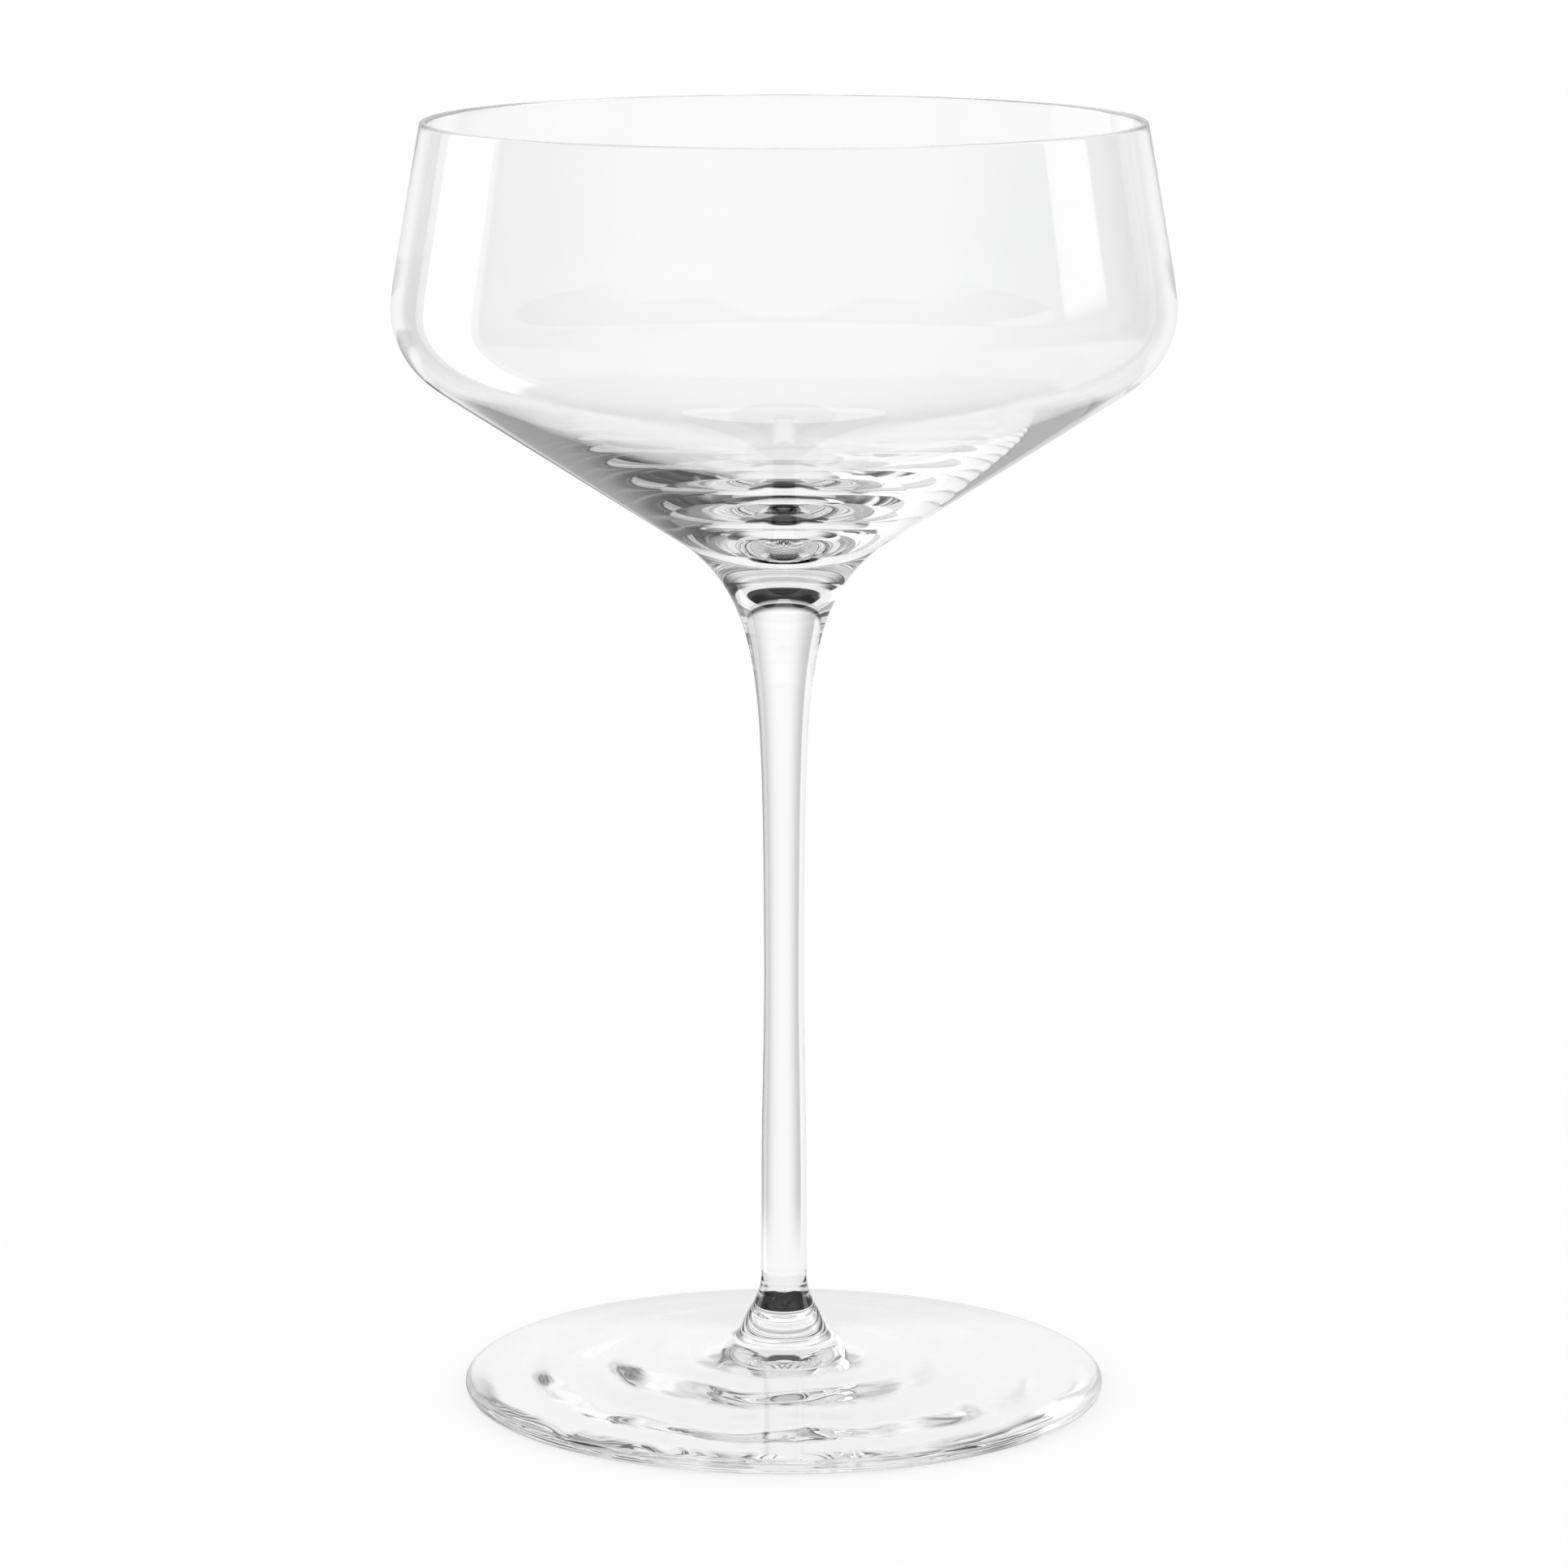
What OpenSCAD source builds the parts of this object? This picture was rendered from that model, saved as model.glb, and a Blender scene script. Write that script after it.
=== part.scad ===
// Coupe glass: a wide, shallow bowl on a thin drawn stem and a round foot, all of clear glass.
// The bowl, the stem and the foot are made apart and fused hot at two flat welds.
// Each piece is one outline turned about the upright axis. Every height is measured from the
// lower face of its own piece, and the pieces stack up from the table at height zero.

/* [Foot] */
// Outer diameter of the foot
foot_d = 85.7; // [70:0.1:100]
// Thickness of the foot at its rounded edge
foot_edge_t = 1.8; // [1.2:0.1:3]
// Height of the sloping top where it runs into the collar
foot_slope_h = 6.5; // [5.5:0.1:8]
// Height of the foot at its weld with the stem
foot_h = 10.6; // [9:0.1:13]
// Diameter at which the sloping top runs into the collar
collar_d = 13.2; // [12.5:0.1:22]
// Radius of the hollow round between the sloping top and the collar
collar_round = 3; // [1:0.5:8]
// Height of the hollow under the foot at its centre
foot_hollow = 2.9; // [0.5:0.1:4]
// Diameter at which the level middle of the hollow turns into its slope
hollow_d = 20; // [10:0.5:28]
// Radius that rounds the middle of the hollow
hollow_round = 90; // [20:5:150]
// Width of the flat ring that the foot rests on
rest_w = 3; // [1:0.1:6]
// Radius that rounds the hollow into that ring
rest_round = 29; // [5:1:60]

/* [Stem] */
// Length of the stem between its two welds
stem_len = 103.7; // [85:0.1:140]
// Diameter of the weld between the stem and the foot
foot_weld_d = 9.2; // [8.4:0.1:12]
// Height of the round flare at the lower end
ankle_flare_h = 4.9; // [4:0.1:8]
// Diameter of the stem just above that flare
ankle_d = 6.04; // [4.5:0.02:8]
// Height up to which the stem keeps that diameter
ankle_h = 17.4; // [12:0.1:28]
// Diameter of the stem at its waist
waist_d = 5.28; // [4:0.02:7]
// Height of the waist
waist_h = 45.4; // [32:0.1:65]
// Diameter that the stem swells to under the bowl, without the trumpet
neck_d = 5.9; // [5:0.02:8]
// Diameter of the trumpet head where it is welded to the bowl
head_d = 25.7; // [16:0.1:32]
// Height in which the trumpet narrows by about two thirds
trumpet_len = 7.8; // [4:0.1:12]

/* [Bowl] */
// Height of the bowl from its weld to the rim
bowl_h = 55.7; // [42:0.1:80]
// Outer diameter at the rim
rim_d = 94.66; // [80:0.02:104]
// Thickness of the wall at the rim
rim_t = 1; // [0.7:0.05:2]
// Outer diameter at which the cone and the upper wall would meet
shoulder_d = 105.3; // [95:0.1:120]
// Height at which the cone and the upper wall would meet
shoulder_h = 25.6; // [18:0.1:34]
// Outer radius that rounds the shoulder
shoulder_round = 11.8; // [4:0.1:18]
// Thickness of the wall at the shoulder
shoulder_t = 1.45; // [0.8:0.05:2.5]
// Thickness of the bowl's floor over the weld
floor_t = 1.1; // [0.8:0.1:4]
// Radius of the round bottom inside the bowl
floor_round = 12.7; // [6:0.1:24]

/* [Hidden] */
$fn = 128;
// Straight runs in each rounded corner, and in the long curves of the stem and of the cone inside
arc_steps = 12;
curve_steps = 40;
// Largest share of the room over the floor that its round bottom takes
floor_room_share = 0.9;
// Clear glass, with a trace of grey
glass_colour = [0.92, 0.94, 0.94, 0.4];

foot_r = foot_d / 2;
collar_r = collar_d / 2;
foot_weld_r = foot_weld_d / 2;
edge_round = foot_edge_t / 2;
rest_inner_r = foot_r - edge_round - rest_w;

ankle_r = ankle_d / 2;
waist_r = waist_d / 2;
neck_r = neck_d / 2;
head_r = head_d / 2;

rim_r = rim_d / 2;
rim_round = rim_t / 2;
shoulder_r = shoulder_d / 2;

stem_z = foot_h;
bowl_z = stem_z + stem_len;

// Direction of a vector, as a vector of length one
function unit(v) = v / norm(v);

// A vector turned anticlockwise by an angle
function turned(v, angle) =
    [v.x * cos(angle) - v.y * sin(angle), v.x * sin(angle) + v.y * cos(angle)];

// Points of an arc about a centre, from one angle to another
function arc(centre, radius, from, to, steps) =
    [for (i = [0:steps]) centre + radius * turned([1, 0], from + (to - from) * i / steps)];

// Half of the angle inside the corner of two straight runs
function half_angle(before, corner, after) =
    acos(unit(before - corner) * unit(after - corner)) / 2;

// Direction from a corner to the middle of the space between its two runs
function inward(before, corner, after) =
    unit(unit(before - corner) + unit(after - corner));

// Radius that rounds a corner, no larger than half of its shorter run allows
function fitted(before, corner, after, radius) =
    let(room = min(norm(before - corner), norm(after - corner)) / 2)
    min(radius, room * tan(half_angle(before, corner, after)));

// Centre of the arc that rounds a corner
function round_centre(before, corner, after, radius) =
    corner + inward(before, corner, after) * fitted(before, corner, after, radius)
        / sin(half_angle(before, corner, after));

// Points of the arc that rounds a corner
function rounded(before, corner, after, radius) =
    let(
        half = half_angle(before, corner, after),
        centre = round_centre(before, corner, after, radius),
        run = fitted(before, corner, after, radius) / tan(half),
        first = corner + unit(before - corner) * run - centre,
        sweep = sign(cross(corner - before, after - corner)) * (180 - 2 * half)
    )
    [for (i = [0:arc_steps]) centre + turned(first, sweep * i / arc_steps)];

// A row of points without its two ends
function between(points) = [for (i = [1:len(points) - 2]) points[i]];

// A smooth rise from zero to one
function eased(t) = let(s = max(0, min(1, t))) s * s * (3 - 2 * s);

// Radius of the stem at a height: ankle, waist and neck, with the trumpet laid over them
function stem_r_at(z) =
    waist_r
    + (ankle_r - waist_r) * eased((waist_h - z) / (waist_h - ankle_h))
    + (neck_r - waist_r) * eased((z - waist_h) / (stem_len - waist_h))
    + (head_r - neck_r) * exp((z - stem_len) / trumpet_len);

// Outline of the foot: hollow underside, resting ring, rounded edge, sloping top and collar
function foot_outline() =
    let(
        hollow_top = [0, foot_hollow],
        hollow_turn = [hollow_d / 2, foot_hollow],
        ring_inner = [rest_inner_r, 0],
        edge_low = [foot_r, 0],
        edge_high = [foot_r, foot_edge_t],
        collar = [collar_r, foot_slope_h],
        weld = [foot_weld_r, foot_h]
    )
    concat(
        [hollow_top],
        rounded(hollow_top, hollow_turn, ring_inner, hollow_round),
        rounded(hollow_turn, ring_inner, edge_low, rest_round),
        rounded(ring_inner, edge_low, edge_high, edge_round),
        rounded(edge_low, edge_high, collar, edge_round),
        rounded(edge_high, collar, weld, collar_round),
        [weld, [0, foot_h]]
    );

// Outline of the stem: round flare on the foot, thin waist and trumpet under the bowl
function stem_outline() =
    let(
        flare_w = foot_weld_r - ankle_r,
        flare_r = (pow(ankle_flare_h, 2) + pow(flare_w, 2)) / (2 * flare_w),
        flare_angle = asin(ankle_flare_h / flare_r),
        flare_centre = [ankle_r + flare_r, ankle_flare_h],
        upper_len = stem_len - ankle_flare_h
    )
    concat(
        [[0, 0]],
        arc(flare_centre, flare_r, 180 + flare_angle, 180, arc_steps),
        [
            for (i = [1:curve_steps])
            let(z = stem_len - upper_len * pow(1 - i / curve_steps, 2))
            [stem_r_at(z), z]
        ],
        [[0, stem_len]]
    );

// Outline of the bowl: weld, cone, shoulder, wall leaning in to the rim, and the inside again.
// Inside, the shoulder keeps its thickness. The cone leaves it parallel to the outside, and one
// wide arc carries it into the round bottom, so that the glass thickens towards the stem.
function bowl_outline() =
    let(
        weld = [head_r, 0],
        shoulder = [shoulder_r, shoulder_h],
        rim_outer = [rim_r, bowl_h],
        rim_inner = [rim_r - rim_t, bowl_h],
        // Inner arc of the shoulder, about the centre of the outer one
        bend_centre = round_centre(weld, shoulder, rim_outer, shoulder_round),
        bend_r = fitted(weld, shoulder, rim_outer, shoulder_round) - shoulder_t,
        rim_reach = rim_inner - bend_centre,
        wall_angle = atan2(rim_reach.y, rim_reach.x) - acos(bend_r / norm(rim_reach)),
        wall_end = bend_centre + bend_r * turned([1, 0], wall_angle),
        // Round bottom, kept above the straight line that runs on from the shoulder
        cone_up = turned(unit(weld - shoulder), -90),
        straight_h = (bend_centre * cone_up - bend_r) / cone_up.y,
        floor_room = (floor_t - straight_h) * cone_up.y / (1 - cone_up.y),
        bottom_r = min(floor_round, floor_room * floor_room_share),
        bottom_centre = [0, floor_t + bottom_r],
        // Wide arc that touches both
        apart = bend_centre - bottom_centre,
        step_r = bend_r - bottom_r,
        wide_shift = (pow(step_r, 2) - apart * apart) / (2 * (apart * cone_up - step_r)),
        wide_centre = bend_centre + wide_shift * cone_up,
        wide_r = wide_shift + bend_r,
        wide_reach = bottom_centre - wide_centre,
        cone_angle = atan2(-cone_up.y, -cone_up.x),
        bottom_angle = atan2(wide_reach.y, wide_reach.x)
    )
    concat(
        [[0, 0], weld],
        rounded(weld, shoulder, rim_outer, shoulder_round),
        rounded(shoulder, rim_outer, rim_inner, rim_round),
        rounded(rim_outer, rim_inner, wall_end, rim_round),
        arc(bend_centre, bend_r, wall_angle, cone_angle, arc_steps),
        between(arc(wide_centre, wide_r, cone_angle, bottom_angle, curve_steps)),
        arc(bottom_centre, bottom_r, bottom_angle, -90, arc_steps)
    );

module bowl() {
    color(glass_colour)
    translate([0, 0, bowl_z])
    rotate_extrude()
    polygon(bowl_outline());
}

module stem() {
    color(glass_colour)
    translate([0, 0, stem_z])
    rotate_extrude()
    polygon(stem_outline());
}

module foot() {
    color(glass_colour)
    rotate_extrude()
    polygon(foot_outline());
}

bowl();
stem();
foot();
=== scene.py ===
import math
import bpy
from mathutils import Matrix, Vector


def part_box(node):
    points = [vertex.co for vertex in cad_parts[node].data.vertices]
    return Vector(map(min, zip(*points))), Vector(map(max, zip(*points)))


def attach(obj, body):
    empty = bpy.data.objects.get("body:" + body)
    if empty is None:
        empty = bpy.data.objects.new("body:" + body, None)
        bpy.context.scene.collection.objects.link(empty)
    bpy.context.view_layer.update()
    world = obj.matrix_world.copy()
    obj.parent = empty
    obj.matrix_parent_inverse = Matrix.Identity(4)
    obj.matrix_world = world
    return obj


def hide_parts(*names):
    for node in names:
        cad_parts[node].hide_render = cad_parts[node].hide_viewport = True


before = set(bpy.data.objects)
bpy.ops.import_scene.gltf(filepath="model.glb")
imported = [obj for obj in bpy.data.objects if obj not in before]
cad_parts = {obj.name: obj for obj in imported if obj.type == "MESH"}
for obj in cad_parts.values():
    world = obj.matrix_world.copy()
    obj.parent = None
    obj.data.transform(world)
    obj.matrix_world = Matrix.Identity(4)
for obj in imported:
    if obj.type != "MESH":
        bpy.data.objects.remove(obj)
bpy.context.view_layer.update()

from types import SimpleNamespace

import bpy

bl_info = {
    "name": "Coupe Glass",
    "version": (1, 0, 0),
    "blender": (4, 5, 0),
    "location": "View3D > Sidebar > Coupe",
    "description": "A stemmed coupe of clear glass: bowl, drawn stem and foot, with a white photo table",
    "category": "Add Mesh",
}

BOWL_LOW, BOWL_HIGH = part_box("bowl")
STEM_LOW, STEM_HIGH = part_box("stem")
FOOT_LOW, FOOT_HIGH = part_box("foot")


# Properties

def length(name, description, default, top=0.3):
    """A size in metres, shown in the scene's own unit."""
    return bpy.props.FloatProperty(
        name=name, description=description, default=default, min=0.0, soft_max=top,
        subtype="DISTANCE", unit="LENGTH", precision=5)


def share(name, description, default, low=0.0, high=1.0):
    """A plain number between two limits."""
    return bpy.props.FloatProperty(
        name=name, description=description, default=default, min=low, max=high, precision=4)


def count(name, description, default, low, high):
    """A whole number between two limits."""
    return bpy.props.IntProperty(name=name, description=description, default=default, min=low, max=high)


def colour(name, description, default):
    """A colour, as it is written in linear light."""
    return bpy.props.FloatVectorProperty(
        name=name, description=description, default=default, size=3, min=0.0, max=1.0, subtype="COLOR")


class BowlSizes(bpy.types.PropertyGroup):
    weld_z: length("Weld height", "Height of the weld under the bowl, above the table", BOWL_LOW.z)
    head_d: length("Weld diameter", "Diameter of the weld under the bowl", 0.0257)
    bowl_h: length("Bowl height", "Height from the weld to the rim", BOWL_HIGH.z - BOWL_LOW.z)
    rim_d: length("Rim diameter", "Outer diameter at the rim", 0.09466)
    rim_t: length("Rim thickness", "Thickness of the wall at the rim", 0.001, 0.003)
    shoulder_d: length("Shoulder diameter", "Diameter at which the cone and the wall would meet", 0.10526)
    shoulder_h: length("Shoulder height", "Height at which the cone and the wall would meet", 0.0256)
    shoulder_round: length("Shoulder round", "Outer radius that rounds the shoulder", 0.0118, 0.02)
    shoulder_t: length("Shoulder thickness", "Thickness of the wall at the shoulder", 0.00145, 0.003)
    floor_t: length("Floor thickness", "Thickness of the glass over the weld", 0.0011, 0.004)
    floor_round: length("Floor round", "Radius of the round bottom inside the bowl", 0.0127, 0.03)
    softening: count("Softening", "How often the outline is evened out at the shoulder", 40, 0, 200)
    step: length("Outline step", "Longest run between two rings of the mesh", 0.0006, 0.003)
    around: count("Segments", "Number of faces around the axis", 256, 24, 512)


class StemSizes(bpy.types.PropertyGroup):
    foot_z: length("Lower weld height", "Height of the weld on the foot, above the table", STEM_LOW.z)
    stem_len: length("Stem length", "Length between the two welds", STEM_HIGH.z - STEM_LOW.z)
    foot_weld_d: length("Lower weld diameter", "Diameter of the weld on the foot", 0.0092, 0.03)
    flare_h: length("Flare height", "Height of the round flare at the lower end", 0.0049, 0.02)
    ankle_d: length("Ankle diameter", "Diameter just above the flare", 0.00604, 0.02)
    ankle_h: length("Ankle height", "Height up to which the stem keeps that diameter", 0.0174)
    waist_d: length("Waist diameter", "Diameter at the waist", 0.00528, 0.02)
    waist_h: length("Waist height", "Height of the waist", 0.0454)
    neck_d: length("Neck diameter", "Diameter that the stem swells to under the bowl", 0.0059, 0.02)
    head_d: length("Head diameter", "Diameter of the trumpet where it meets the bowl", 0.0257)
    trumpet_len: length("Trumpet length", "Height in which the trumpet narrows by two thirds", 0.0078, 0.03)
    rings: count("Rings", "Number of rings along the stem", 220, 24, 600)
    around: count("Segments", "Number of faces around the axis", 128, 24, 512)


class FootSizes(bpy.types.PropertyGroup):
    foot_d: length("Foot diameter", "Outer diameter of the foot", FOOT_HIGH.x - FOOT_LOW.x)
    edge_t: length("Edge thickness", "Thickness at the rounded edge", 0.0018, 0.005)
    slope_h: length("Slope height", "Height of the sloping top where it runs into the collar", 0.0065, 0.02)
    foot_h: length("Foot height", "Height of the weld with the stem", FOOT_HIGH.z - FOOT_LOW.z)
    collar_d: length("Collar diameter", "Diameter at which the top runs into the collar", 0.0132)
    collar_round: length("Collar round", "Radius of the hollow round at the collar", 0.003, 0.02)
    weld_d: length("Weld diameter", "Diameter of the weld with the stem", 0.0092, 0.03)
    hollow: length("Hollow", "Height of the hollow under the foot at its centre", 0.0029, 0.01)
    hollow_d: length("Hollow middle", "Diameter at which the level middle of the hollow turns into its slope", 0.020)
    hollow_round: length("Hollow round", "Radius that rounds the middle of the hollow", 0.090, 0.3)
    rest_w: length("Resting ring", "Width of the flat ring that the foot stands on", 0.003, 0.01)
    rest_round: length("Ring round", "Radius that rounds the hollow into the resting ring", 0.029, 0.3)
    ripple: length("Ripple", "Height of the rings that spinning leaves in the hollow", 0.00026, 0.0005)
    ring_r: length("Ripple radius", "Radius at which one of these rings rises", 0.020)
    ring_gap: length("Ripple gap", "Distance from one of these rings to the next", 0.013, 0.05)
    step: length("Outline step", "Longest run between two rings of the mesh", 0.0005, 0.003)
    around: count("Segments", "Number of faces around the axis", 256, 24, 512)


class GlassFinish(bpy.types.PropertyGroup):
    ior: share("Index of refraction", "How strongly the glass bends light", 1.52, 1.3, 1.8)
    tint: colour("Tint", "Colour of the glass", (1.0, 1.0, 1.0))
    cloud: colour("Cloud", "Colour of the faint clouds in the glass", (0.985, 0.99, 0.988))
    swell: length("Swell", "Height of the faint swell that fire polishing leaves", 0.000012, 0.0005)
    swell_scale: share("Swell scale", "How closely the swells follow each other, per metre", 14.0, 1.0, 1000.0)


class StudioLook(bpy.types.PropertyGroup):
    camera_h: length("Camera height", "Height of the camera above the table", 0.2287, 1.0)
    camera_far: length("Camera distance", "Distance of the camera from the axis of the glass", 0.7995, 2.0)
    camera_tilt: bpy.props.FloatProperty(
        name="Camera tilt", description="Angle by which the camera looks down",
        default=math.radians(10.38), subtype="ANGLE", unit="ROTATION")
    lens: bpy.props.FloatProperty(
        name="Lens", description="Focal length on a 36 mm frame", default=140.85, subtype="DISTANCE_CAMERA", unit="CAMERA")
    shadow: share("Shadow", "Share of the table's white that shadow can take away", 0.3)


SETTINGS = {
    "coupe_bowl": BowlSizes,
    "coupe_stem": StemSizes,
    "coupe_foot": FootSizes,
    "coupe_glass": GlassFinish,
    "coupe_studio": StudioLook,
}


# Arithmetic on node sockets

def plug(value, socket):
    """Link a wire to a socket, or write a plain value on it."""
    if isinstance(value, Wire):
        value = value.socket
    if isinstance(value, bpy.types.NodeSocket):
        socket.id_data.links.new(value, socket)
    else:
        socket.default_value = value


def add(tree, kind, inputs=None, **settings):
    """A new node with its settings and inputs."""
    made = tree.nodes.new(kind)
    for name, value in settings.items():
        setattr(made, name, value)
    for name, value in (inputs or {}).items():
        plug(value, made.inputs[name])
    return made


def calc(operation, *values):
    """A Math node, as a wire."""
    tree = next(value for value in values if isinstance(value, Wire)).socket.id_data
    made = add(tree, "ShaderNodeMath", dict(enumerate(values)), operation=operation)
    return Wire(made.outputs[0])


class Wire:
    """An output of a node that takes part in plain sums."""

    def __init__(self, socket):
        self.socket = socket

    def __add__(self, other):
        return calc("ADD", self, other)

    def __radd__(self, other):
        return calc("ADD", other, self)

    def __sub__(self, other):
        return calc("SUBTRACT", self, other)

    def __rsub__(self, other):
        return calc("SUBTRACT", other, self)

    def __mul__(self, other):
        return calc("MULTIPLY", self, other)

    def __rmul__(self, other):
        return calc("MULTIPLY", other, self)

    def __truediv__(self, other):
        return calc("DIVIDE", self, other)

    def __rtruediv__(self, other):
        return calc("DIVIDE", other, self)

    def __neg__(self):
        return calc("MULTIPLY", self, -1.0)

    def __gt__(self, other):
        return calc("GREATER_THAN", self, other)

    def __lt__(self, other):
        return calc("LESS_THAN", self, other)


class Spot:
    """A point of an outline: its distance from the axis and its height."""

    def __init__(self, r, z):
        self.r, self.z = r, z

    def __add__(self, other):
        return Spot(self.r + other.r, self.z + other.z)

    def __sub__(self, other):
        return Spot(self.r - other.r, self.z - other.z)

    def __mul__(self, size):
        return Spot(self.r * size, self.z * size)

    def dot(self, other):
        return self.r * other.r + self.z * other.z

    def long(self):
        return calc("SQRT", self.dot(self))

    def unit(self):
        return self * (1.0 / self.long())

    def angle(self):
        return calc("ARCTAN2", self.z, self.r)


def towards(angle):
    """A step of length one in a direction."""
    return Spot(calc("COSINE", angle), calc("SINE", angle))


def eased(value):
    """A smooth rise from zero to one."""
    held = calc("MAXIMUM", calc("MINIMUM", value, 1.0), 0.0)
    return held * held * (3.0 - 2.0 * held)


def ramp(value, start, end):
    """A smooth rise from zero at one value to one at another."""
    return eased((value - start) / (end - start))


def band(value, low, high, soft):
    """One between two limits and zero outside them, with soft borders."""
    return ramp(value, low - soft / 2, low + soft / 2) * ramp(value, high + soft / 2, high - soft / 2)


# Outlines turned about the axis

def named_inputs(tree, sizes):
    """One input of the tree for each size, and the wires that carry them."""
    for key in type(sizes).__annotations__:
        prop = sizes.bl_rna.properties[key]
        kind = "NodeSocketInt" if prop.type == "INT" else "NodeSocketFloat"
        socket = tree.interface.new_socket(prop.name, in_out="INPUT", socket_type=kind, description=prop.description)
        socket.default_value = prop.default
    tree.interface.new_socket("Glass", in_out="INPUT", socket_type="NodeSocketMaterial")
    tree.interface.new_socket("Weld", in_out="INPUT", socket_type="NodeSocketMaterial")
    tree.interface.new_socket("Mesh", in_out="OUTPUT", socket_type="NodeSocketGeometry")
    carried = tree.nodes.new("NodeGroupInput").outputs
    keys = list(type(sizes).__annotations__) + ["glass", "weld"]
    return SimpleNamespace(**{key: Wire(carried[place]) for place, key in enumerate(keys)})


def at_place(tree, r, z):
    """A position in the plane of the outline."""
    return add(tree, "ShaderNodeCombineXYZ", {"X": r, "Z": z}).outputs[0]


def listed(tree, kind, values):
    """The value of a list that belongs to each point's number."""
    chosen = add(tree, "GeometryNodeIndexSwitch", data_type=kind)
    while len(chosen.index_switch_items) < len(values):
        chosen.index_switch_items.new()
    plug(tree.nodes.new("GeometryNodeInputIndex").outputs[0], chosen.inputs[0])
    for place, value in enumerate(values):
        plug(value, chosen.inputs[place + 1])
    return chosen.outputs[0]


def rounded_outline(tree, corners, step):
    """A line through corners, each a spot, the radius that rounds it and the runs in its arc."""
    points = add(tree, "GeometryNodePoints", {
        "Count": len(corners),
        "Position": listed(tree, "VECTOR", [at_place(tree, spot.r, spot.z) for spot, _, _ in corners])})
    line = add(tree, "GeometryNodePointsToCurves", {"Points": points.outputs[0]})
    fillet = add(tree, "GeometryNodeFilletCurve", {
        "Curve": line.outputs[0],
        "Radius": listed(tree, "FLOAT", [radius for _, radius, _ in corners]),
        "Count": listed(tree, "INT", [runs for _, _, runs in corners]),
        "Limit Radius": True}, mode="POLY")
    index = Wire(tree.nodes.new("GeometryNodeInputIndex").outputs[0])
    here = tree.nodes.new("GeometryNodeInputPosition").outputs[0]
    following = add(tree, "GeometryNodeFieldAtIndex", {"Index": index + 1.0, "Value": here},
                    data_type="FLOAT_VECTOR", domain="POINT")
    gap = add(tree, "ShaderNodeVectorMath", {0: here, 1: following.outputs[0]}, operation="DISTANCE")
    cuts = calc("FLOOR", Wire(gap.outputs["Value"]) / step)
    return add(tree, "GeometryNodeSubdivideCurve", {"Curve": fillet.outputs[0], "Cuts": cuts}).outputs[0]


def turn(tree, outline, component, around):
    """The outline turned once about the axis, as a closed mesh with its seam and poles joined."""
    size = add(tree, "GeometryNodeAttributeDomainSize", {0: outline}, component=component)
    grid = add(tree, "GeometryNodeMeshGrid", {
        "Vertices X": size.outputs["Point Count"], "Vertices Y": around + 1.0})
    index = Wire(tree.nodes.new("GeometryNodeInputIndex").outputs[0])
    row = calc("FLOOR", (index + 0.5) / (around + 1.0))
    column = index - row * (around + 1.0)
    spot = add(tree, "GeometryNodeSampleIndex", {
        0: outline, "Value": tree.nodes.new("GeometryNodeInputPosition").outputs[0], "Index": row},
        data_type="FLOAT_VECTOR", domain="POINT")
    parts = add(tree, "ShaderNodeSeparateXYZ", {0: spot.outputs[0]})
    r, z = Wire(parts.outputs["X"]), Wire(parts.outputs["Z"])
    angle = column * -math.tau / around
    turned = add(tree, "ShaderNodeCombineXYZ", {
        "X": r * calc("COSINE", angle), "Y": r * calc("SINE", angle), "Z": z})
    placed = add(tree, "GeometryNodeSetPosition", {"Geometry": grid.outputs[0], "Position": turned.outputs[0]})
    return add(tree, "GeometryNodeMergeByDistance", {
        "Geometry": placed.outputs[0], "Distance": 1e-6}).outputs[0]


def dress(tree, mesh, sizes, welds):
    """Smooth shading with sharp welds, and the two materials; the last nodes of every tree."""
    smooth = add(tree, "GeometryNodeSetShadeSmooth", {"Geometry": mesh, "Shade Smooth": True}, domain="FACE")
    bend = tree.nodes.new("GeometryNodeInputMeshEdgeAngle").outputs["Unsigned Angle"]
    sharp = add(tree, "GeometryNodeSetShadeSmooth", {
        "Geometry": smooth.outputs[0], "Selection": Wire(bend) > math.radians(24), "Shade Smooth": False}, domain="EDGE")
    real = add(tree, "GeometryNodeRealizeInstances", {"Geometry": sharp.outputs[0]})
    glass = add(tree, "GeometryNodeSetMaterial", {"Geometry": real.outputs[0], "Material": sizes.glass})
    height = Wire(add(tree, "ShaderNodeSeparateXYZ", {
        0: tree.nodes.new("GeometryNodeInputPosition").outputs[0]}).outputs["Z"])
    facing = Wire(add(tree, "ShaderNodeSeparateXYZ", {
        0: tree.nodes.new("GeometryNodeInputNormal").outputs[0]}).outputs["Z"])
    flat = calc("ABSOLUTE", facing) > 0.999
    near = None
    for weld in welds:
        hit = calc("ABSOLUTE", height - weld) < 1e-5
        near = hit if near is None else calc("MAXIMUM", near, hit)
    clear = add(tree, "GeometryNodeSetMaterial", {
        "Geometry": glass.outputs[0], "Selection": flat * near, "Material": sizes.weld})
    plug(clear.outputs[0], tree.nodes.new("NodeGroupOutput").inputs[0])


def arc_corner(centre, radius, start, end):
    """The corner of two tangents that an arc about a centre rounds."""
    return centre + towards((start + end) / 2.0) * (radius / calc("COSINE", (start - end) / 2.0))


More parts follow.
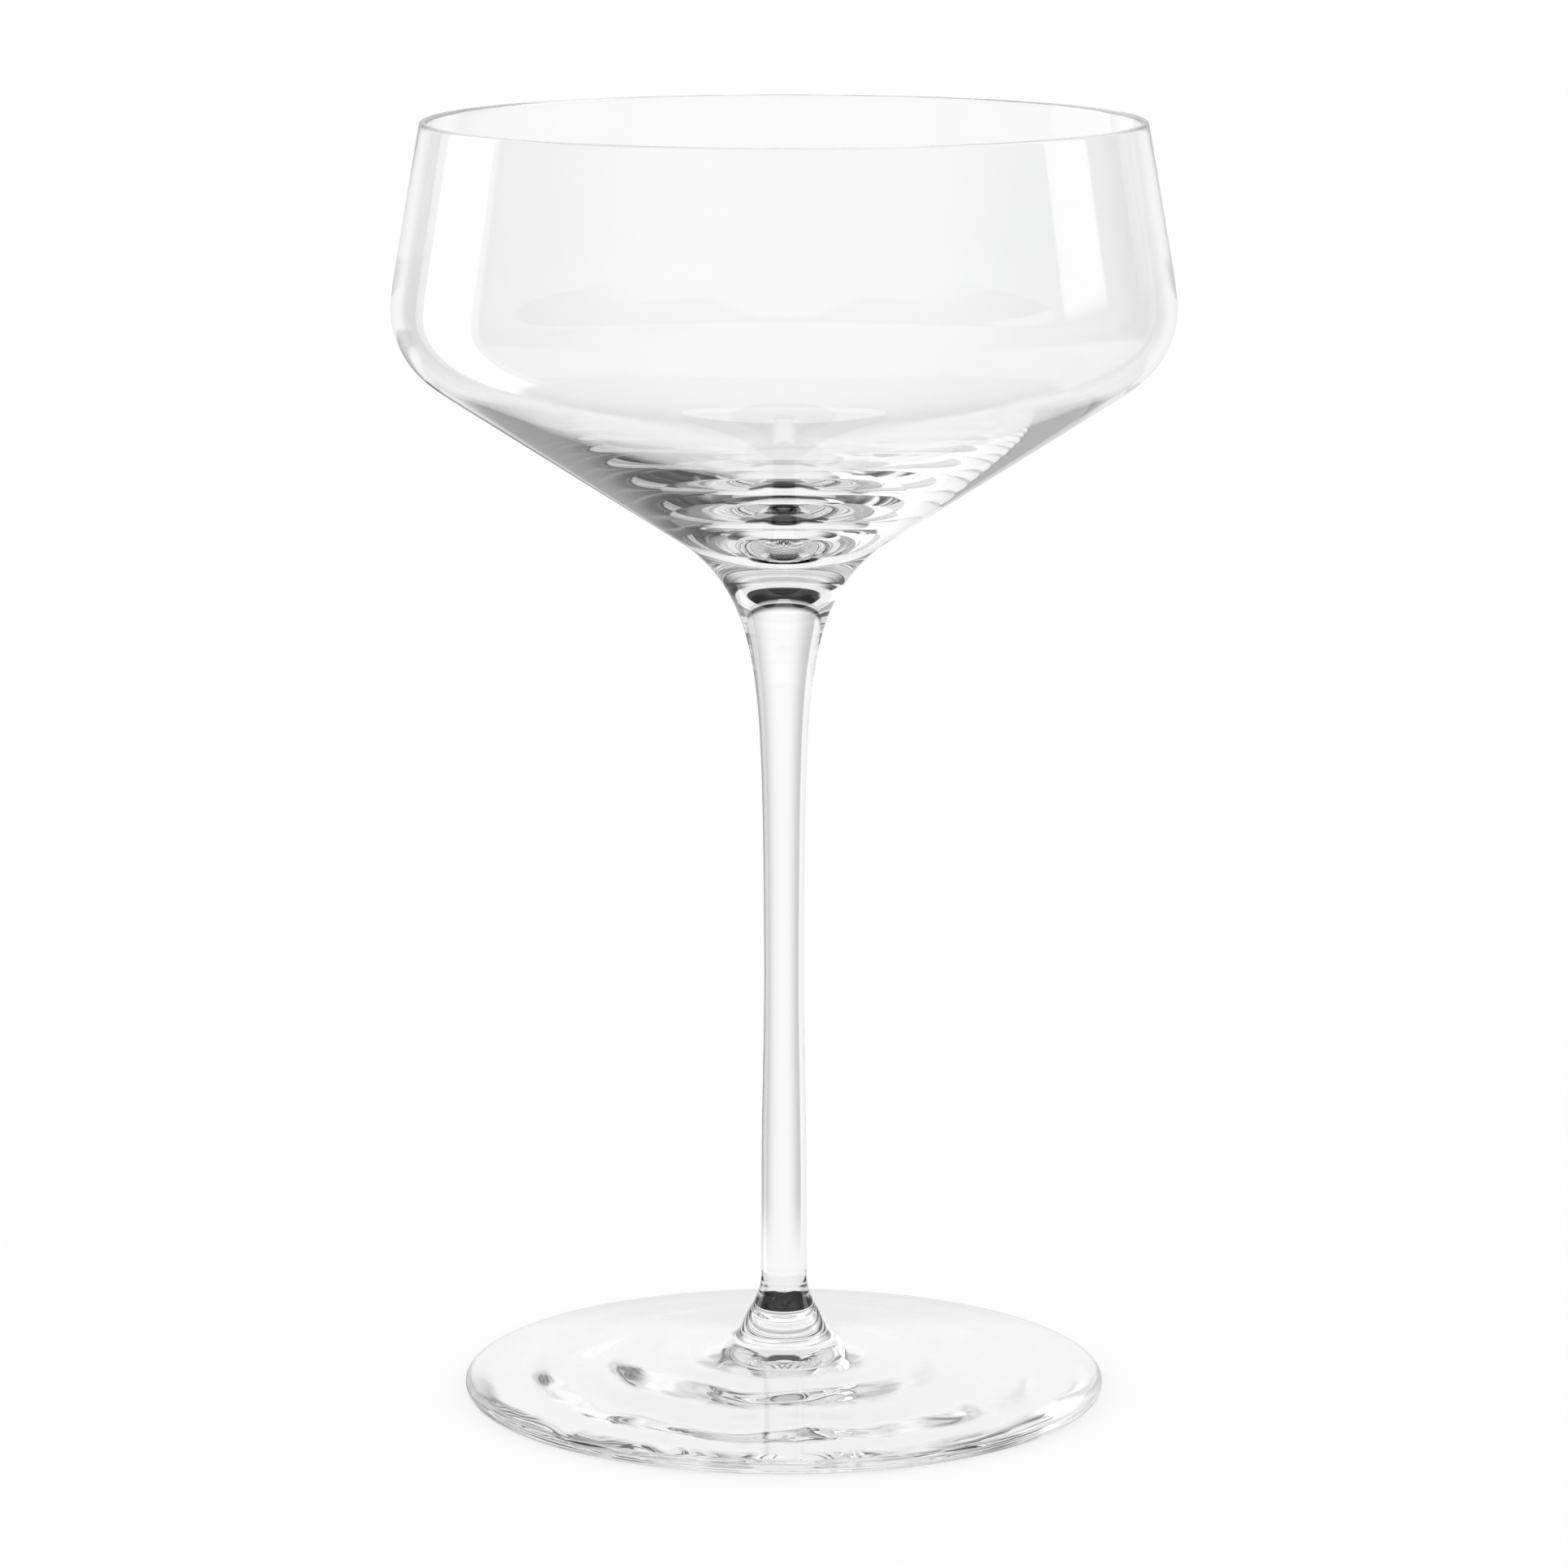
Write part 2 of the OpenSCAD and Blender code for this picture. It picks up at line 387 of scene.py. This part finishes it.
def bowl_tree(sizes):
    """Weld, cone, shoulder, wall leaning in to the rim, and the inside down to the round bottom."""
    tree = bpy.data.node_groups.new("Bowl outline", "GeometryNodeTree")
    s = named_inputs(tree, sizes)
    weld = Spot(s.head_d / 2.0, 0.0)
    shoulder = Spot(s.shoulder_d / 2.0, s.shoulder_h)
    rim_outer = Spot(s.rim_d / 2.0, s.bowl_h)
    rim_inner = Spot(s.rim_d / 2.0 - s.rim_t, s.bowl_h)
    down, up = (weld - shoulder).unit(), (rim_outer - shoulder).unit()
    half = calc("ARCCOSINE", down.dot(up)) / 2.0
    # Inner arc of the shoulder, about the centre of the outer one
    bend_centre = shoulder + (down + up).unit() * (s.shoulder_round / calc("SINE", half))
    bend_r = s.shoulder_round - s.shoulder_t
    reach = rim_inner - bend_centre
    wall_angle = reach.angle() - calc("ARCCOSINE", bend_r / reach.long())
    # Round bottom, and the wide arc that touches it and the shoulder
    cone_up = Spot(down.z, -down.r)
    bottom_centre = Spot(0.0, s.floor_t + s.floor_round)
    apart = Spot(bend_centre.r, bend_centre.z - bottom_centre.z)
    step_r = bend_r - s.floor_round
    wide_shift = (step_r * step_r - apart.dot(apart)) / (2.0 * (apart.dot(cone_up) - step_r))
    wide_centre = bend_centre + cone_up * wide_shift
    wide_r = wide_shift + bend_r
    cone_angle = (cone_up * -1.0).angle()
    bottom_angle = Spot(-wide_centre.r, bottom_centre.z - wide_centre.z).angle()
    corners = [
        (Spot(0.0, 0.0), 0.0, 1),
        (weld, 0.0, 1),
        (shoulder, s.shoulder_round, 40),
        (rim_outer, s.rim_t / 2.0, 10),
        (rim_inner, s.rim_t / 2.0, 10),
        (arc_corner(bend_centre, bend_r, wall_angle, cone_angle), bend_r, 40),
        (arc_corner(wide_centre, wide_r, cone_angle, bottom_angle), wide_r, 80),
        (arc_corner(bottom_centre, s.floor_round, bottom_angle, -math.pi / 2), s.floor_round, 24),
        (Spot(0.0, s.floor_t), 0.0, 1),
    ]
    outline = rounded_outline(tree, corners, s.step)
    # Blowing leaves no crease where the round shoulder runs into the cone and the wall
    here = tree.nodes.new("GeometryNodeInputPosition").outputs[0]
    height = Wire(add(tree, "ShaderNodeSeparateXYZ", {0: here}).outputs["Z"]) / s.bowl_h
    soft = add(tree, "GeometryNodeBlurAttribute", {
        "Value": here, "Iterations": s.softening, "Weight": band(height, 0.22, 0.84, 0.08)}, data_type="FLOAT_VECTOR")
    lifted = add(tree, "GeometryNodeSetPosition", {
        "Geometry": outline, "Position": soft.outputs[0], "Offset": at_place(tree, 0.0, s.weld_z)}).outputs[0]
    dress(tree, turn(tree, lifted, "CURVE", s.around), s, [s.weld_z])
    return tree


def stem_tree(sizes):
    """Round flare on the foot, thin waist, and the trumpet under the bowl."""
    tree = bpy.data.node_groups.new("Stem outline", "GeometryNodeTree")
    s = named_inputs(tree, sizes)
    ankle_r, waist_r, neck_r, head_r = s.ankle_d / 2.0, s.waist_d / 2.0, s.neck_d / 2.0, s.head_d / 2.0
    index = Wire(tree.nodes.new("GeometryNodeInputIndex").outputs[0])
    # Heights crowd together towards both ends, where the outline bends most
    along = calc("MAXIMUM", calc("MINIMUM", (index - 1.0) / (s.rings - 1.0), 1.0), 0.0)
    z = s.stem_len * (0.35 * along + 0.65 * (0.5 - 0.5 * calc("COSINE", along * math.pi)))
    drawn_r = (
        waist_r
        + (ankle_r - waist_r) * eased((s.waist_h - z) / (s.waist_h - s.ankle_h))
        + (neck_r - waist_r) * eased((z - s.waist_h) / (s.stem_len - s.waist_h))
        + (head_r - neck_r) * calc("EXPONENT", (z - s.stem_len) / s.trumpet_len))
    flare_w = s.foot_weld_d / 2.0 - ankle_r
    flare_r = (s.flare_h * s.flare_h + flare_w * flare_w) / (2.0 * flare_w)
    left = calc("MAXIMUM", s.flare_h - z, 0.0)
    flared_r = ankle_r + flare_r - calc("SQRT", flare_r * flare_r - left * left)
    in_flare = z < s.flare_h
    r = flared_r * in_flare + drawn_r * (1.0 - in_flare)
    on_ring = (index > 0.5) * (index < s.rings + 0.5)
    points = add(tree, "GeometryNodePoints", {
        "Count": s.rings + 2.0, "Position": at_place(tree, r * on_ring, z + s.foot_z)})
    mesh = turn(tree, points.outputs[0], "POINTCLOUD", s.around)
    dress(tree, mesh, s, [s.foot_z, s.foot_z + s.stem_len])
    return tree


def foot_tree(sizes):
    """Hollow underside, resting ring, rounded edge, sloping top and collar."""
    tree = bpy.data.node_groups.new("Foot outline", "GeometryNodeTree")
    s = named_inputs(tree, sizes)
    foot_r, edge_round = s.foot_d / 2.0, s.edge_t / 2.0
    ring_r = foot_r - edge_round - s.rest_w
    corners = [
        (Spot(0.0, s.hollow), 0.0, 1),
        (Spot(s.hollow_d / 2.0, s.hollow), s.hollow_round, 24),
        (Spot(ring_r, 0.0), s.rest_round, 12),
        (Spot(foot_r, 0.0), edge_round, 12),
        (Spot(foot_r, s.edge_t), edge_round, 12),
        (Spot(s.collar_d / 2.0, s.slope_h), s.collar_round, 40),
        (Spot(s.weld_d / 2.0, s.foot_h), 0.0, 1),
        (Spot(0.0, s.foot_h), 0.0, 1),
    ]
    mesh = turn(tree, rounded_outline(tree, corners, s.step), "CURVE", s.around)
    # Rings that spinning leaves in the hollow, deepest on one side, none at its centre or on the resting ring
    here = tree.nodes.new("GeometryNodeInputPosition").outputs[0]
    parts = add(tree, "ShaderNodeSeparateXYZ", {0: here})
    x, y, z = (Wire(socket) for socket in parts.outputs)
    r = calc("SQRT", x * x + y * y)
    facing = Wire(add(tree, "ShaderNodeSeparateXYZ", {
        0: tree.nodes.new("GeometryNodeInputNormal").outputs[0]}).outputs["Z"])
    under = (facing < -0.5) * ramp(r, ring_r * 0.97, ring_r * 0.84) * ramp(r, ring_r * 0.3, ring_r * 0.45)
    noise = add(tree, "ShaderNodeTexNoise", {"Vector": here, "Scale": 70.0, "Detail": 1.0}, noise_dimensions="3D")
    uneven = Wire(noise.outputs[0]) - 0.5
    spun = calc("SINE", (r - s.ring_r) / s.ring_gap * math.tau + 3.5 * uneven)
    deeper = 0.25 + 0.75 * ramp((0.5 * x + 0.87 * y) / r, 0.1, -0.85)
    wave = spun * deeper * s.ripple * under
    waved = add(tree, "GeometryNodeSetPosition", {"Geometry": mesh, "Offset": at_place(tree, 0.0, wave)})
    dress(tree, waved.outputs[0], s, [s.foot_h])
    return tree


def make_piece(node, name, tree, sizes):
    """A piece from its tree and sizes, baked to a plain mesh that stands for its node."""
    piece = bpy.data.objects.new(name, bpy.data.meshes.new(name))
    bpy.context.scene.collection.objects.link(piece)
    modifier = piece.modifiers.new("Outline", "NODES")
    modifier.node_group = tree
    values = {sizes.bl_rna.properties[key].name: getattr(sizes, key) for key in type(sizes).__annotations__}
    values["Glass"], values["Weld"] = clear_glass(), fused_weld()
    for item in tree.interface.items_tree:
        if item.in_out == "INPUT":
            modifier[item.identifier] = values[item.name]
    graph = bpy.context.evaluated_depsgraph_get()
    mesh = bpy.data.meshes.new_from_object(piece.evaluated_get(graph), preserve_all_data_layers=True, depsgraph=graph)
    piece.modifiers.clear()
    piece.data = mesh
    mesh.name = name
    for place in reversed(range(len(mesh.materials))):
        if mesh.materials[place] is None:
            mesh.materials.pop(index=place)
    if not mesh.polygons:
        raise RuntimeError(name + " came out empty")
    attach(piece, "root")
    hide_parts(node)
    return piece


# Finishes

def clear_glass():
    """Clear, fire-polished glass."""
    made = bpy.data.materials.get("Clear fire-polished glass")
    if made:
        return made
    finish = bpy.context.scene.coupe_glass
    made = bpy.data.materials.new("Clear fire-polished glass")
    made.use_nodes = True
    tree = made.node_tree
    shader = tree.nodes["Principled BSDF"]
    place = add(tree, "ShaderNodeTexCoord").outputs["Object"]
    # Fire polishing leaves a faint swell in the skin, and melting a faint cloud of grey
    swell = add(tree, "ShaderNodeTexNoise", {"Vector": place, "Scale": finish.swell_scale, "Detail": 0.0})
    cloud = add(tree, "ShaderNodeTexNoise", {"Vector": place, "Scale": finish.swell_scale * 3.0, "Detail": 3.0})
    tint = add(tree, "ShaderNodeMix", {
        0: cloud.outputs["Fac"], 6: (*finish.tint, 1.0), 7: (*finish.cloud, 1.0)}, data_type="RGBA")
    bump = add(tree, "ShaderNodeBump", {
        "Height": swell.outputs["Fac"], "Strength": 1.0, "Distance": finish.swell})
    plug(tint.outputs[2], shader.inputs["Base Color"])
    plug(bump.outputs["Normal"], shader.inputs["Normal"])
    shader.inputs["Transmission Weight"].default_value = 1.0
    shader.inputs["Roughness"].default_value = 0.0
    shader.inputs["IOR"].default_value = finish.ior
    return made


def fused_weld():
    """The inside of a weld, where two pieces have run into one and light passes straight on."""
    made = bpy.data.materials.get("Fused weld")
    if made:
        return made
    made = bpy.data.materials.new("Fused weld")
    made.use_nodes = True
    tree = made.node_tree
    tree.nodes.clear()
    through = add(tree, "ShaderNodeBsdfTransparent")
    add(tree, "ShaderNodeOutputMaterial", {"Surface": through.outputs[0]})
    return made


# Studio

def studio_world(look):
    """White all round; in the glass's own reflections, softboxes at both sides and a darker room."""
    world = bpy.data.worlds.new("White studio")
    world.use_nodes = True
    tree = world.node_tree
    tree.nodes.clear()
    way = add(tree, "ShaderNodeSeparateXYZ", {0: add(tree, "ShaderNodeTexCoord").outputs["Generated"]})
    x, y, z = (Wire(socket) for socket in way.outputs)
    rise = calc("ARCSINE", z) * math.degrees(1)
    side = calc("ARCTAN2", x, y) * math.degrees(1)
    turned = calc("ABSOLUTE", side)
    behind = ramp(turned, 100.0, 140.0)
    ahead = ramp(turned, 52.0, 34.0)
    # Seen after one mirroring inside the glass: white table, lit backdrop, a large softbox, the room behind
    table = (0.8 - 0.3 * behind) * band(rise, -42.0, -13.0, 4.0)
    window = 1.25 * band(side, -79.0, -42.0, 2.0) * band(rise, -45.0, 52.0, 8.0)
    below = calc("MAXIMUM", table, window)
    backdrop = ahead * (band(rise, -49.0, 34.0, 6.0) + 0.8 * band(rise, 34.0, 53.0, 4.0))
    room = 0.9 * calc("MAXIMUM", behind * band(rise, -43.0, 45.0, 6.0),
                      ramp(turned, 145.0, 160.0) * band(rise, 40.0, 80.0, 6.0))
    once = calc("MAXIMUM", calc("MAXIMUM", below, backdrop), room)
    # Seen after more mirrorings: a narrow backdrop with a strip over it, a dark room, and the softbox again
    narrow = ramp(turned, 36.0, 18.0)
    deeper = narrow * (band(rise, -58.0, 12.0, 6.0) + 0.85 * band(rise, 12.0, 29.0, 6.0) + 0.5 * band(rise, 29.0, 62.0, 6.0))
    above = 0.85 * band(rise, 42.0, 82.0, 8.0) * calc(
        "MAXIMUM", band(side, -170.0, -58.0, 20.0), 0.8 * ramp(turned, 120.0, 140.0))
    dim = calc("MAXIMUM", 0.42 * band(side, -112.0, -79.0, 4.0) * band(rise, -25.0, 45.0, 8.0),
               0.25 * band(side, 64.0, 135.0, 24.0) * band(rise, -25.0, 60.0, 10.0))
    often = calc("MAXIMUM", calc("MAXIMUM", below, deeper), calc("MAXIMUM", above, dim))
    # Mirrored by the outer faces: a grey room, a lit backdrop and two tall softboxes
    front = ramp(turned, 45.0, 30.0) * (0.8 + 0.2 * ramp(rise, 2.0, 8.0)) * band(rise, -20.0, 55.0, 5.0)
    edge = 0.75 * band(side, 44.0, 53.0, 4.0) * band(rise, 0.0, 40.0, 5.0)
    left = 2.4 * band(side, -77.5, -50.5, 2.0) * band(rise, -45.0, 60.0, 5.0)
    right = 2.4 * band(side, 71.0, 91.0, 2.0) * band(rise, 4.0, 60.0, 5.0)
    grey = calc("MAXIMUM", 0.5 + 0.3 * behind, calc("MAXIMUM", front, edge))
    dark = 0.8 * band(side, -40.0, -4.0, 6.0) * band(rise, -14.5, -9.0, 2.0)
    outside = calc("MAXIMUM", grey, calc("MAXIMUM", left, right)) * (1.0 - dark)
    path = add(tree, "ShaderNodeLightPath").outputs
    turns = Wire(path["Glossy Depth"])
    mirrored, again = turns > 0.5, turns > 1.5
    entered = Wire(path["Transmission Depth"]) > 0.5
    bent = entered * (Wire(path["Diffuse Depth"]) < 0.5) * (1.0 - mirrored)
    ceiling = calc("MAXIMUM", ramp(rise, 23.0, 31.0), side_falloff(side))
    # Seen in the far wall of the bowl, or led many times along a wall: the white room behind
    far_wall = (1.0 - again) * (Wire(path["Transmission Depth"]) > 2.5)
    led = (turns > 4.5) * behind * band(rise, -10.0, 60.0, 8.0)
    inside = once + again * (often - once) + far_wall * (0.95 - once) + led * (0.9 - often)
    strength = (1.0 + mirrored * entered * (inside - 1.0)
                + mirrored * (1.0 - entered) * (outside - 1.0) - bent * ceiling)
    light = add(tree, "ShaderNodeBackground", {"Strength": strength})
    light.inputs["Color"].default_value = (1.0, 1.0, 1.0, 1.0)
    add(tree, "ShaderNodeOutputWorld", {"Surface": light.outputs[0]})
    return world


def side_falloff(side):
    """How much of the white is lost to both sides of the backdrop, as the glass bends them into view; the world takes
    it off its light, and the table paints it on as shade.
    """
    return calc("MAXIMUM", 0.53 * ramp(side, 8.0, 56.0) * ramp(side, 100.0, 64.0),
                0.4 * ramp(side, -4.0, -34.0) * ramp(side, -39.0, -35.0))


def table_white(look):
    """A white table that takes a faint shadow, and shows painted shade to both sides through the glass; reflections
    in the glass look past it.
    """
    made = bpy.data.materials.new("White table")
    made.use_nodes = True
    tree = made.node_tree
    tree.nodes.clear()
    path = add(tree, "ShaderNodeLightPath").outputs
    # Through the glass, the table is painted with shade: white straight ahead and darker to both sides, in place of
    # the backdrop's light falling off at its sides.
    place = add(tree, "ShaderNodeSeparateXYZ", {0: add(tree, "ShaderNodeTexCoord").outputs["Object"]})
    x, y = Wire(place.outputs["X"]), Wire(place.outputs["Y"])
    side = calc("ARCTAN2", x, y) * math.degrees(1)
    painted_falloff_mask = ramp(calc("SQRT", x * x + y * y), 0.06, 0.11) * (Wire(path["Transmission Depth"]) > 0.5)
    white = 1.0 - side_falloff(side) * painted_falloff_mask
    # The glow and the matt colour both carry this painted shade of the sides.
    glow = add(tree, "ShaderNodeEmission", {"Color": (1.0, 1.0, 1.0, 1.0), "Strength": white})
    shade = add(tree, "ShaderNodeCombineColor", {0: white, 1: white, 2: white})
    matt = add(tree, "ShaderNodeBsdfDiffuse", {"Color": shade.outputs[0]})
    top = add(tree, "ShaderNodeMixShader", {0: look.shadow, 1: glow.outputs[0], 2: matt.outputs[0]})
    past = add(tree, "ShaderNodeBsdfTransparent")
    mirrored = Wire(path["Glossy Depth"]) > 0.5
    mix = add(tree, "ShaderNodeMixShader", {0: mirrored, 1: top.outputs[0], 2: past.outputs[0]})
    add(tree, "ShaderNodeOutputMaterial", {"Surface": mix.outputs[0]})
    return made


# Operators

class COUPE_OT_stage(bpy.types.Operator):
    """Set up the white table, the studio light and the camera"""
    bl_idname = "coupe.stage"
    bl_label = "White stage"

    def execute(self, context):
        scene, look = context.scene, context.scene.coupe_studio
        scene.view_settings.view_transform = "Standard"
        scene.cycles.max_bounces = 160
        scene.cycles.transmission_bounces = 160
        scene.cycles.glossy_bounces = 160
        scene.cycles.transparent_max_bounces = 48
        scene.world = studio_world(look)
        mesh = bpy.data.meshes.new("table")
        reach, low = 4.0, -0.0002
        mesh.from_pydata([(-reach, -reach, low), (reach, -reach, low), (reach, reach, low), (-reach, reach, low)],
                         [], [(0, 1, 2, 3)])
        mesh.materials.append(table_white(look))
        table = bpy.data.objects.new("table", mesh)
        scene.collection.objects.link(table)
        eye = bpy.data.cameras.new("camera")
        eye.lens, eye.sensor_width, eye.clip_start = look.lens, 36.0, 0.01
        camera = bpy.data.objects.new("camera", eye)
        camera.location = (0.0, -look.camera_far, look.camera_h)
        camera.rotation_euler = (math.pi / 2 - look.camera_tilt, 0.0, 0.0)
        scene.collection.objects.link(camera)
        scene.camera = camera
        return {"FINISHED"}


class COUPE_OT_bowl(bpy.types.Operator):
    """Make the bowl"""
    bl_idname = "coupe.bowl"
    bl_label = "Bowl"

    def execute(self, context):
        sizes = context.scene.coupe_bowl
        make_piece("bowl", "blown_bowl", bowl_tree(sizes), sizes)
        return {"FINISHED"}


class COUPE_OT_stem(bpy.types.Operator):
    """Make the stem"""
    bl_idname = "coupe.stem"
    bl_label = "Stem"

    def execute(self, context):
        sizes = context.scene.coupe_stem
        make_piece("stem", "drawn_stem", stem_tree(sizes), sizes)
        return {"FINISHED"}


class COUPE_OT_foot(bpy.types.Operator):
    """Make the foot"""
    bl_idname = "coupe.foot"
    bl_label = "Foot"

    def execute(self, context):
        sizes = context.scene.coupe_foot
        make_piece("foot", "pressed_foot", foot_tree(sizes), sizes)
        return {"FINISHED"}


class COUPE_PT_panel(bpy.types.Panel):
    """The glass and its stage in the sidebar of the 3D view"""
    bl_idname = "COUPE_PT_panel"
    bl_label = "Coupe Glass"
    bl_space_type = "VIEW_3D"
    bl_region_type = "UI"
    bl_category = "Coupe"

    def draw(self, context):
        layout = self.layout
        for key, kind in SETTINGS.items():
            box = layout.box()
            for name in kind.__annotations__:
                box.prop(getattr(context.scene, key), name)
        for operator in OPERATORS:
            layout.operator(operator.bl_idname)


OPERATORS = (COUPE_OT_stage, COUPE_OT_bowl, COUPE_OT_stem, COUPE_OT_foot)
CLASSES = (*SETTINGS.values(), *OPERATORS, COUPE_PT_panel)


def register():
    for kind in CLASSES:
        bpy.utils.register_class(kind)
    for key, kind in SETTINGS.items():
        setattr(bpy.types.Scene, key, bpy.props.PointerProperty(type=kind))


def unregister():
    for key in SETTINGS:
        delattr(bpy.types.Scene, key)
    for kind in reversed(CLASSES):
        bpy.utils.unregister_class(kind)


def main():
    register()
    bpy.ops.coupe.stage()
    bpy.ops.coupe.bowl()
    bpy.ops.coupe.stem()
    bpy.ops.coupe.foot()


if __name__ == "__main__":
    main()
